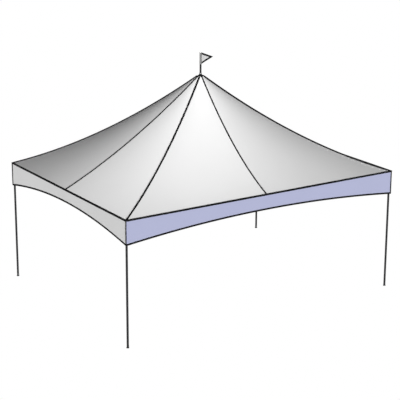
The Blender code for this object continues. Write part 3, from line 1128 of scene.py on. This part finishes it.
@dataclass
class Rigging:
    """The crossed wire ropes that carry the mast, each with a fork at its foot and a turnbuckle."""

    pin_reach: float = 0.085
    pin_radius: float = 0.006
    ear_inside: float = 0.0046
    ear_thickness: float = 0.005
    ear_radius: float = 0.013
    fork_reach: float = 0.034
    web_start: float = 0.016
    rod_radius: float = 0.0063
    pitch: float = 0.002
    ridge: float = 0.0005
    turnbuckle_length: float = 0.300
    nut_radius: float = 0.0115
    nut_length: float = 0.018
    nut_places: tuple[float, float] = (0.078, 0.236)
    rail_radius: float = 0.0034
    rail_away: float = 0.0095
    rod_ends: tuple[float, float] = (0.128, 0.196)
    sleeve_radius: float = 0.0078
    sleeve_start: float = 0.030
    sleeve_length: float = 0.060
    strands: int = 6
    strand_radius: float = 0.00142
    strand_ring: float = 0.0026
    lay: float = 0.060
    rope_steps: int = 10

    def block(self, low: Vector, high: Vector, round_off: float) -> bpy.types.Object:
        """A block between two corners, with its edges rounded off."""
        deselect()
        bpy.ops.mesh.primitive_cube_add(size=1.0, location=(low + high) / 2, scale=high - low)
        made = settle(bpy.context.object)
        apply_modifier(made, "BEVEL", width=round_off, segments=2, limit_method="ANGLE")
        return made

    def ear(self, hand: int) -> bpy.types.Object:
        """One ear of a fork: a plate with a round nose about the pin."""
        deselect()
        away = hand * (self.ear_inside + self.ear_thickness / 2)
        bpy.ops.mesh.primitive_cylinder_add(
            vertices=32,
            radius=self.ear_radius,
            depth=self.ear_thickness,
            location=(away, 0, 0),
            rotation=(0, math.radians(90), 0),
        )
        made = settle(bpy.context.object)
        for vertex in made.data.vertices:
            if vertex.co.z > 0:
                vertex.co.z += self.fork_reach - self.ear_radius
        apply_modifier(made, "BEVEL", width=0.0008, segments=2, limit_method="ANGLE")
        return made

    def pin(self) -> bpy.types.Object:
        """The fork's pin, with a domed head at one end and a ring through the other."""
        half = self.ear_inside + self.ear_thickness
        outline = [
            (0.0, -half - 0.0030),
            (0.0060, -half - 0.0028),
            (0.0082, -half - 0.0016),
            (0.0085, -half - 0.0002),
            (self.pin_radius, -half),
            (self.pin_radius, half + 0.0028),
            (self.pin_radius - 0.0008, half + 0.0036),
            (0.0, half + 0.0036),
        ]
        shank = lathe("shank", outline)
        shank.rotation_euler = (0, math.radians(90), 0)
        shank = settle(shank)
        deselect()
        bpy.ops.mesh.primitive_torus_add(
            major_radius=0.0068,
            minor_radius=0.0007,
            major_segments=28,
            minor_segments=8,
            location=(half + 0.0020, 0.0, 0.0),
            rotation=(0, math.radians(78), 0),
        )
        return join("pin", [shank, settle(bpy.context.object)])

    def fork(self) -> list[bpy.types.Object]:
        """A fork at the origin, with its mouth down: two ears, the web between them and the pin."""
        side = self.ear_inside + self.ear_thickness / 2
        low = Vector((-side, -self.ear_radius * 0.8, self.web_start))
        high = Vector((side, self.ear_radius * 0.8, self.fork_reach))
        return [self.ear(-1), self.ear(1), self.block(low, high, 0.001), self.pin()]

    def rod(self, start: float, end: float) -> bpy.types.Object:
        """A threaded rod, its thread cut as a true helix.

        Args:
            start: Where it starts, up from the fork's pin.
            end: Where it ends.

        Returns:
            The closed rod.
        """
        rows = int(6 * (end - start) / self.pitch)

        def place(share_round: float, share_up: float) -> Vector:
            """A point of the thread, or of one of the rod's flat ends."""
            row = share_up * (rows + 2) - 1
            height = start + (end - start) * min(1.0, max(0.0, row / rows))
            turn = math.tau * share_round
            wave = math.cos(math.tau * height / self.pitch - turn)
            radius = self.rod_radius + self.ridge * (wave - 1) / 2
            if row < -0.5 or row > rows + 0.5:
                radius = 0.0
            return Vector((radius * math.cos(turn), radius * math.sin(turn), height))

        size = (math.tau * self.rod_radius, end - start)
        made = laid_grid("rod", 16, rows + 2, place, size)
        close_round(made)
        return made

    def turnbuckle(self) -> bpy.types.Object:
        """An open turnbuckle with a fork at its upper end, at the origin."""
        low, high = self.nut_places
        parts = [
            *self.fork(),
            self.rod(self.fork_reach - 0.004, self.rod_ends[0]),
            self.rod(self.rod_ends[1], self.turnbuckle_length),
        ]
        for place in (low, high):
            chamfer = 0.002
            outline = [
                (0.0, place),
                (self.nut_radius - chamfer, place),
                (self.nut_radius, place + chamfer),
                (self.nut_radius, place + self.nut_length - chamfer),
                (self.nut_radius - chamfer, place + self.nut_length),
                (0.0, place + self.nut_length),
            ]
            parts.append(lathe("nut", outline))
        for hand in (-1, 1):
            deselect()
            bpy.ops.mesh.primitive_cylinder_add(
                vertices=16,
                radius=self.rail_radius,
                depth=high - low,
                location=(0, hand * self.rail_away, (low + high + self.nut_length) / 2),
            )
            rail = settle(bpy.context.object)
            apply_modifier(rail, "BEVEL", width=0.0008, segments=2, limit_method="ANGLE")
            parts.append(rail)
        return join("turnbuckle", parts)

    def sleeve(self, start: float, upwards: bool) -> bpy.types.Object:
        """A pressed sleeve on the rope's end, tapered where the rope comes out.

        Args:
            start: Where its thick end is.
            upwards: Whether it runs up from there.

        Returns:
            The closed sleeve.
        """
        way = 1 if upwards else -1
        rope = self.strand_ring + self.strand_radius
        outline = [
            (0.0, 0.0),
            (self.sleeve_radius - 0.001, 0.0),
            (self.sleeve_radius, 0.001),
            (self.sleeve_radius, self.sleeve_length - 0.004),
            (self.sleeve_radius - 0.0008, self.sleeve_length),
            (rope + 0.0003, self.sleeve_length + 0.006),
            (0.0, self.sleeve_length + 0.006),
        ]
        placed = [(radius, start + way * height) for radius, height in outline]
        return lathe("sleeve", placed if upwards else placed[::-1])

    def rope(self, start: float, end: float) -> bpy.types.Object:
        """Six strands laid round a straight core.

        Args:
            start: Where it starts.
            end: Where it ends.

        Returns:
            The closed strands.
        """
        turns = round((end - start) / self.lay)
        circles = []
        for number in range(self.strands):
            turn = math.tau * number / self.strands
            deselect()
            bpy.ops.mesh.primitive_circle_add(
                vertices=6,
                radius=self.strand_radius,
                location=(self.strand_ring * math.cos(turn), self.strand_ring * math.sin(turn), start),
            )
            circles.append(settle(bpy.context.object))
        made = join("rope", circles)
        apply_modifier(
            made,
            "SCREW",
            angle=math.tau,
            screw_offset=(end - start) / turns,
            iterations=turns,
            steps=self.rope_steps,
            render_steps=self.rope_steps,
        )
        choose(made)
        bpy.ops.object.mode_set(mode="EDIT")
        bpy.ops.mesh.select_all(action="SELECT")
        bpy.ops.mesh.fill_holes(sides=6)
        bpy.ops.mesh.normals_make_consistent(inside=False)
        bpy.ops.object.mode_set(mode="OBJECT")
        deselect()
        bpy.ops.mesh.primitive_cylinder_add(
            vertices=8, radius=self.strand_radius * 1.3, depth=end - start, location=(0, 0, (start + end) / 2)
        )
        return join("rope", [made, settle(bpy.context.object)])

    def cable(self, run: float) -> bpy.types.Object:
        """A wire rope with its two sleeves and its lower fork, at the origin."""
        inside = self.sleeve_length / 2
        parts = [
            *self.fork(),
            self.sleeve(self.sleeve_start, True),
            self.rope(self.sleeve_start + inside, run - inside),
            self.sleeve(run, False),
        ]
        return join("cable", parts)

    def build(self, finishes: Finishes) -> None:
        """Makes the four cables and the four turnbuckles.

        Args:
            finishes: The tent's materials.
        """
        beam_low, beam_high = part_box("eave_beam_front")
        hub_low, hub_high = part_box("mast_foot")
        hub = Vector((0.0, 0.0, hub_low.z + 0.035))
        for corner in Corner:
            leg_low, leg_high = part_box(f"leg_{corner.label}")
            start = (leg_low + leg_high) / 2
            start.z = (beam_low.z + beam_high.z) / 2
            way = (hub - start).normalized()
            reach = (hub - start).length
            screw = aim(self.turnbuckle(), start + way * self.pin_reach, way)
            run = reach - 2 * self.pin_reach - self.turnbuckle_length - 0.0003
            cable = aim(self.cable(run), hub - way * self.pin_reach, -way)
            for kind, piece in (("turnbuckle", screw), ("cross_cable", cable)):
                piece.name = piece.data.name = f"{kind}_assembly_{corner.label}"
                smooth(piece, 40.0)
                attach(piece, finishes.steel, Slot.CABLE, f"{kind}_{corner.label}")


@dataclass
class Fasteners:
    """The bolts that lock the tubes on their spigots, all with their heads inside the tent."""

    flats: float = 0.013
    head: float = 0.0055
    washer_radius: float = 0.0095
    washer: float = 0.0016
    from_end: float = 0.030
    stagger: float = 0.024

    def bolt(self) -> bpy.types.Object:
        """A hexagon head on a washer, standing on the origin."""
        deselect()
        bpy.ops.mesh.primitive_cylinder_add(
            vertices=6,
            radius=self.flats / math.sqrt(3),
            depth=self.head,
            location=(0, 0, self.washer + self.head / 2),
        )
        head = settle(bpy.context.object)
        apply_modifier(head, "BEVEL", width=0.0007, segments=2, limit_method="ANGLE")
        outline = [
            (0.0, -0.0008),
            (self.washer_radius, -0.0008),
            (self.washer_radius, self.washer - 0.0003),
            (self.washer_radius - 0.0003, self.washer),
            (0.0, self.washer),
        ]
        return join("bolt", [head, lathe("washer", outline, 28)])

    def places(self) -> list[tuple[Vector, Vector]]:
        """Where each bolt stands, and the way that its head looks."""
        found = []
        for corner in Corner:
            x, y = corner.value
            low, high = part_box(f"leg_{corner.label}")
            middle, radius = (low + high) / 2, (high.x - low.x) / 2
            for number, way in enumerate((Vector((-x, 0.0, 0.0)), Vector((0.0, -y, 0.0)))):
                for height in (low.z + self.from_end, high.z - self.from_end):
                    up = height + (number - 0.5) * self.stagger * 0.5
                    found.append((Vector((middle.x, middle.y, up)) + way * radius, way))
        for side in Side:
            low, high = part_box(f"eave_beam_{side.label}")
            middle, radius = (low + high) / 2, (high.z - low.z) / 2
            half = max(high.x - low.x, high.y - low.y) / 2 - self.from_end
            for hand in (-1, 1):
                centre = middle + side.onward * (hand * half)
                found.append((centre - side.outward * radius, -side.outward))
                lower = centre - side.onward * (hand * self.stagger)
                found.append((lower - UP * radius, -UP))
        return found

    def build(self, finishes: Finishes) -> None:
        """Makes the bolts, in one piece for each kind of tube.

        Args:
            finishes: The tent's materials.
        """
        pattern = self.bolt()
        bolts = []
        for start, way in self.places():
            copy = pattern.copy()
            copy.data = pattern.data.copy()
            bpy.context.scene.collection.objects.link(copy)
            bolts.append(aim(copy, start, way))
        bpy.data.objects.remove(pattern)
        legs = 4 * len(Corner)
        for name, group in (("leg_bolts", bolts[:legs]), ("beam_bolts", bolts[legs:])):
            piece = join(name, group)
            smooth(piece, 35.0)
            attach(piece, finishes.steel, Slot.CABLE)


# Peak, pole and pennant


@dataclass
class Peak:
    """The boot over the roof's mouth, the clamp round it and the flag pole."""

    form: RoofForm
    skirt: float = 0.020
    boot_lift: float = 0.0032
    boot_thickness: float = 0.002
    collar_top: float = 4.347
    collar_radius: float = 0.0212
    pole_radius: float = 0.0190
    clamp_height: float = 0.012

    def boot(self) -> bpy.types.Object:
        """The black boot, from a four-cornered skirt to a round collar."""
        low = self.form.mouth

        def rim(share: float, out: float) -> Vector:
            quarter = int(share * 4) % 4
            along = 2 * (share * 4 - int(share * 4)) - 1
            side = (Side.RIGHT, Side.BACK, Side.LEFT, Side.FRONT)[quarter]
            return self.form.point(side, along, out, self.boot_lift)

        def place(share_round: float, share_up: float) -> Vector:
            foot = rim(share_round, self.skirt + (low * 0.9 - self.skirt) * min(1.0, share_up * 2))
            if share_up <= 0.5:
                return foot
            climb = (share_up - 0.5) * 2
            way = Vector((foot.x, foot.y, 0.0))
            collar = way.normalized() * self.collar_radius
            spread = (1 - min(1.0, climb * 1.6)) ** 2
            level = collar + (way - collar) * spread
            start = foot.z
            return Vector((level.x, level.y, start + (self.collar_top - start) * climb))

        made = laid_grid("peak_boot", 64, 20, place, (0.4, 0.12))
        close_round(made)
        face_towards(made, UP)
        apply_modifier(made, "SOLIDIFY", thickness=self.boot_thickness, offset=1.0)
        smooth(made, 30.0)
        return made

    def clamp(self) -> bpy.types.Object:
        """The band that draws the collar tight, with its screw housing."""
        height = self.collar_top - 0.011
        deselect()
        bpy.ops.mesh.primitive_cylinder_add(
            vertices=64,
            radius=self.collar_radius + self.boot_thickness + 0.0002,
            depth=self.clamp_height,
            end_fill_type="NOTHING",
            location=(0, 0, height),
        )
        band = settle(bpy.context.object)
        apply_modifier(band, "SOLIDIFY", thickness=0.0009, offset=1.0)
        bpy.ops.mesh.primitive_cylinder_add(
            vertices=20,
            radius=0.0045,
            depth=0.022,
            location=(0, self.collar_radius + 0.0065, height),
            rotation=(0, math.radians(90), 0),
        )
        housing = settle(bpy.context.object)
        apply_modifier(housing, "BEVEL", width=0.0008, segments=2, limit_method="ANGLE")
        made = join("boot_clamp", [band, housing])
        smooth(made, 40.0)
        return made

    def pole(self) -> bpy.types.Object:
        """The flag pole, with a rounded top."""
        low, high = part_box("flag_pole")
        deselect()
        bpy.ops.mesh.primitive_cylinder_add(
            vertices=48,
            radius=self.pole_radius,
            depth=high.z - low.z,
            location=(0, 0, (low.z + high.z) / 2),
        )
        pole = settle(bpy.context.object)
        pole.name = pole.data.name = "flag_pole_tube"
        apply_modifier(pole, "BEVEL", width=0.004, segments=4, limit_method="ANGLE")
        smooth(pole)
        return pole

    def build(self, finishes: Finishes) -> list[bpy.types.Object]:
        """Makes the boot, clamp and pole."""
        boot = attach(self.boot(), finishes.tape, Slot.BLACK, "peak_cap")
        clamp = attach(self.clamp(), finishes.steel, Slot.CABLE)
        attach(self.pole(), finishes.paint, Slot.FRAME, "flag_pole")
        return [boot, clamp]


@dataclass
class Pennant:
    """A three-cornered flag with black edges, on a sleeve round the pole."""

    top: float = 4.754
    foot: float = 4.524
    tip_height: float = 4.646
    reach: float = 0.292
    hoist: float = 0.0205
    border: float = 0.036
    ripple: float = 0.006
    cloth_thickness: float = 0.0010
    border_thickness: float = 0.0024
    sleeve_thickness: float = 0.0010
    hem: float = 0.006

    def flown(self, away: float, height: float) -> Vector:
        """Where a point flies, in a gentle ripple that grows from the hoist.

        Args:
            away: The point's distance from the pole's middle.
            height: The point's height.

        Returns:
            The point.
        """
        share = (away - self.hoist) / (self.reach - self.hoist)
        swing = self.ripple * share * math.sin(share * 5.2 + 0.5)
        lean = 0.0025 * share * math.sin((height - self.foot) * 30.0)
        return Vector((away, swing + lean, height))

    def inner_root(self, root: float) -> float:
        """The height on the hoist where an edge's black band ends.

        Args:
            root: The edge's own height there.

        Returns:
            The band's inner height.
        """
        run, rise = self.reach - self.hoist, self.tip_height - root
        return root + math.copysign(self.border * math.hypot(run, rise) / run, rise)

    def inner_tip(self) -> Vector:
        """Where the inner sides of the two black bands meet, as distance out and height."""
        run = self.reach - self.hoist
        upper, lower = self.inner_root(self.top), self.inner_root(self.foot)
        share = (upper - lower) / (self.top - self.foot)
        height = upper + (self.tip_height - self.top) * share
        return Vector((self.hoist + run * share, height))

    def laid(self, name: str, lines: tuple[tuple[Vector, Vector], ...], thick: float) -> bpy.types.Object:
        """A flat shape between two lines that run out from the hoist.

        Args:
            name: The piece's name.
            lines: The two lines, each as its root and its end.
            thick: The cloth's thickness.

        Returns:
            The finished piece.
        """

        def place(share_along: float, share_up: float) -> Vector:
            """A point between the two lines."""
            low, high = (root.lerp(end, share_along) for root, end in lines)
            return self.flown(*low.lerp(high, share_up))

        made = laid_grid(name, 36, 8, place, (self.reach - self.hoist, self.border))
        close_round(made)
        face_towards(made, Vector((0, -1, 0)))
        apply_modifier(made, "SOLIDIFY", thickness=thick, offset=0.0)
        smooth(made, 40.0)
        return made

    def cloth(self) -> bpy.types.Object:
        """The pale cloth, which runs on under the black bands."""
        roots = [Vector((self.hoist, root)) for root in (self.foot + self.hem, self.top - self.hem)]
        tip = Vector((self.reach - 2 * self.hem, self.tip_height))
        return self.laid("pennant_cloth", tuple((root, tip) for root in roots), self.cloth_thickness)

    def bands(self) -> list[bpy.types.Object]:
        """The black bands along the two long edges, which meet at the tip."""
        tip = Vector((self.reach, self.tip_height))
        made = []
        for name, root in (("upper", self.top), ("lower", self.foot)):
            outer = (Vector((self.hoist, root)), tip)
            inner = (Vector((self.hoist, self.inner_root(root))), self.inner_tip())
            made.append(self.laid(f"pennant_band_{name}", (outer, inner), self.border_thickness))
        return made

    def sleeve(self) -> bpy.types.Object:
        """The sleeve round the pole, turned in at its two ends."""
        deselect()
        bpy.ops.mesh.primitive_cylinder_add(
            vertices=40,
            radius=self.hoist + 0.0006,
            depth=self.top - self.foot,
            end_fill_type="NOTHING",
            location=(0, 0, (self.top + self.foot) / 2),
        )
        made = settle(bpy.context.object)
        made.name = made.data.name = "pennant_sleeve"
        apply_modifier(made, "SOLIDIFY", thickness=self.sleeve_thickness, offset=-1.0)
        smooth(made, 40.0)
        return made

    def build(self, finishes: Finishes) -> None:
        """Args:
            finishes: The tent's materials.
        """
        cloth = attach(self.cloth(), finishes.pennant, Slot.PENNANT, "pennant")
        bands = [attach(piece, finishes.tape, Slot.BLACK, "pennant") for piece in self.bands()]
        # The sleeve is dressed in the dark grey that paints the shade on its round face.
        sleeve = attach(self.sleeve(), finishes.sleeve_painted_shade, Slot.PENNANT, "pennant")
        width, height = self.reach - self.hoist, self.top - self.foot
        width * height / 2


# Studio


@dataclass
class Studio:
    """A white floor, soft light and the camera."""

    aim_height: float = 1.7328
    distance: float = 27.684
    yaw: float = math.radians(-33.129)
    pitch: float = math.radians(16.782)
    roll: float = math.radians(0.234)
    lens: float = 123.08
    sensor: float = 36.0
    floor_size: float = 900.0
    white: float = 1.0
    bounce: float = 0.60
    sky: float = 0.115

    @staticmethod
    def towards(azimuth: float, elevation: float) -> Vector:
        """The direction towards a light or camera.

        Args:
            azimuth: Degrees anticlockwise seen from above, with 0 in front of the tent.
            elevation: Degrees above level.

        Returns:
            A unit vector.
        """
        turn, rise = math.radians(azimuth), math.radians(elevation)
        level = Vector((math.sin(turn), -math.cos(turn), 0.0))
        return level * math.cos(rise) + UP * math.sin(rise)

    def camera(self) -> None:
        """The camera at the photograph's angle."""
        back = self.towards(math.degrees(self.yaw), math.degrees(self.pitch))
        right = UP.cross(back).normalized()
        up = back.cross(right)
        turned_right = right * math.cos(self.roll) + up * math.sin(self.roll)
        turned_up = up * math.cos(self.roll) - right * math.sin(self.roll)
        data = bpy.data.cameras.new("photo_camera")
        data.lens = self.lens
        data.sensor_width = self.sensor
        data.clip_end = 2 * self.floor_size
        camera = bpy.data.objects.new("photo_camera", data)
        bpy.context.scene.collection.objects.link(camera)
        turn = Matrix((turned_right, turned_up, back)).transposed().to_4x4()
        camera.matrix_world = Matrix.Translation(UP * self.aim_height + back * self.distance) @ turn
        bpy.context.scene.camera = camera

    def sun(self, name: str, azimuth: float, elevation: float, strength: float, spread: float) -> None:
        """A far soft lamp."""
        data = bpy.data.lights.new(name, "SUN")
        data.energy = strength
        data.angle = math.radians(spread)
        lamp = bpy.data.objects.new(name, data)
        bpy.context.scene.collection.objects.link(lamp)
        way = self.towards(azimuth, elevation)
        lamp.rotation_mode = "QUATERNION"
        lamp.rotation_quaternion = way.to_track_quat("Z", "Y")
        lamp.location = way * 20

    def sky_light(self) -> None:
        """An even dim sky that looks white to the camera."""
        world = bpy.data.worlds.new("studio")
        world.use_nodes = True
        bpy.context.scene.world = world
        nodes, links = world.node_tree.nodes, world.node_tree.links
        background = nodes["Background"]
        background.inputs["Color"].default_value = (1, 1, 1, 1)
        background.inputs["Strength"].default_value = self.sky
        shown = nodes.new("ShaderNodeBackground")
        shown.inputs["Color"].default_value = (1, 1, 1, 1)
        shown.inputs["Strength"].default_value = self.white
        ray = nodes.new("ShaderNodeLightPath")
        mixed = nodes.new("ShaderNodeMixShader")
        links.new(ray.outputs["Is Camera Ray"], mixed.inputs[0])
        links.new(background.outputs[0], mixed.inputs[1])
        links.new(shown.outputs[0], mixed.inputs[2])
        links.new(mixed.outputs[0], nodes["World Output"].inputs["Surface"])

    def floor(self, name: str, strength: float, size: float, height: float) -> bpy.types.Object:
        """A glowing white floor."""
        deselect()
        bpy.ops.mesh.primitive_plane_add(size=size, location=(0, 0, height))
        made = bpy.context.object
        made.name = name
        material = bpy.data.materials.new(name)
        material.use_nodes = True
        nodes, links = material.node_tree.nodes, material.node_tree.links
        nodes.clear()
        glow = nodes.new("ShaderNodeEmission")
        glow.inputs["Strength"].default_value = strength
        end = nodes.new("ShaderNodeOutputMaterial")
        links.new(glow.outputs[0], end.inputs["Surface"])
        made.data.materials.append(material)
        return made

    def build(self) -> None:
        """Sets the floor, the lights and the camera."""
        shown = self.floor("studio_floor", self.white, self.floor_size, -0.002)
        shown.visible_diffuse = shown.visible_glossy = shown.visible_shadow = False
        card = self.floor("bounce_card", self.bounce, 60.0, -0.004)
        card.visible_camera = card.visible_shadow = False
        self.sun("key", -29.0, 17.0, 3.69, 40.0)
        self.sun("rim", 140.0, 5.0, 1.9, 16.0)
        self.sky_light()
        self.camera()
        bpy.context.scene.view_settings.view_transform = "Standard"


def dress_frame(finishes: Finishes) -> None:
    """Gives every CAD node that stays shown its finish."""
    for name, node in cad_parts.items():
        if name.startswith(("turnbuckle_", "cross_cable_")):
            material = finishes.steel
        elif name.startswith("foot_"):
            material = finishes.rubber
        else:
            material = finishes.paint
        for place in range(max(1, len(node.data.materials))):
            if place < len(node.data.materials):
                node.data.materials[place] = material
            else:
                node.data.materials.append(material)


def main() -> None:
    """Builds the tent's looks and the studio."""
    logging.basicConfig(level=logging.INFO, format="%(name)s %(message)s")
    finishes = Finishes()
    Studio().build()
    dress_frame(finishes)
    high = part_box("valance_front")[1]
    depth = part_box("valance_back")[1].y
    form = RoofForm(half_length=high.x, half_depth=depth)
    seams = RoofSeams(form).build(finishes)
    edges = EaveSeams(form).build(finishes)
    Canopy(form, pieces=[*seams, *edges]).build(finishes)
    Valances(form).build(finishes)
    Rigging().build(finishes)
    Fasteners().build(finishes)
    Peak(form).build(finishes)
    Pennant().build(finishes)


if __name__ == "__main__":
    main()
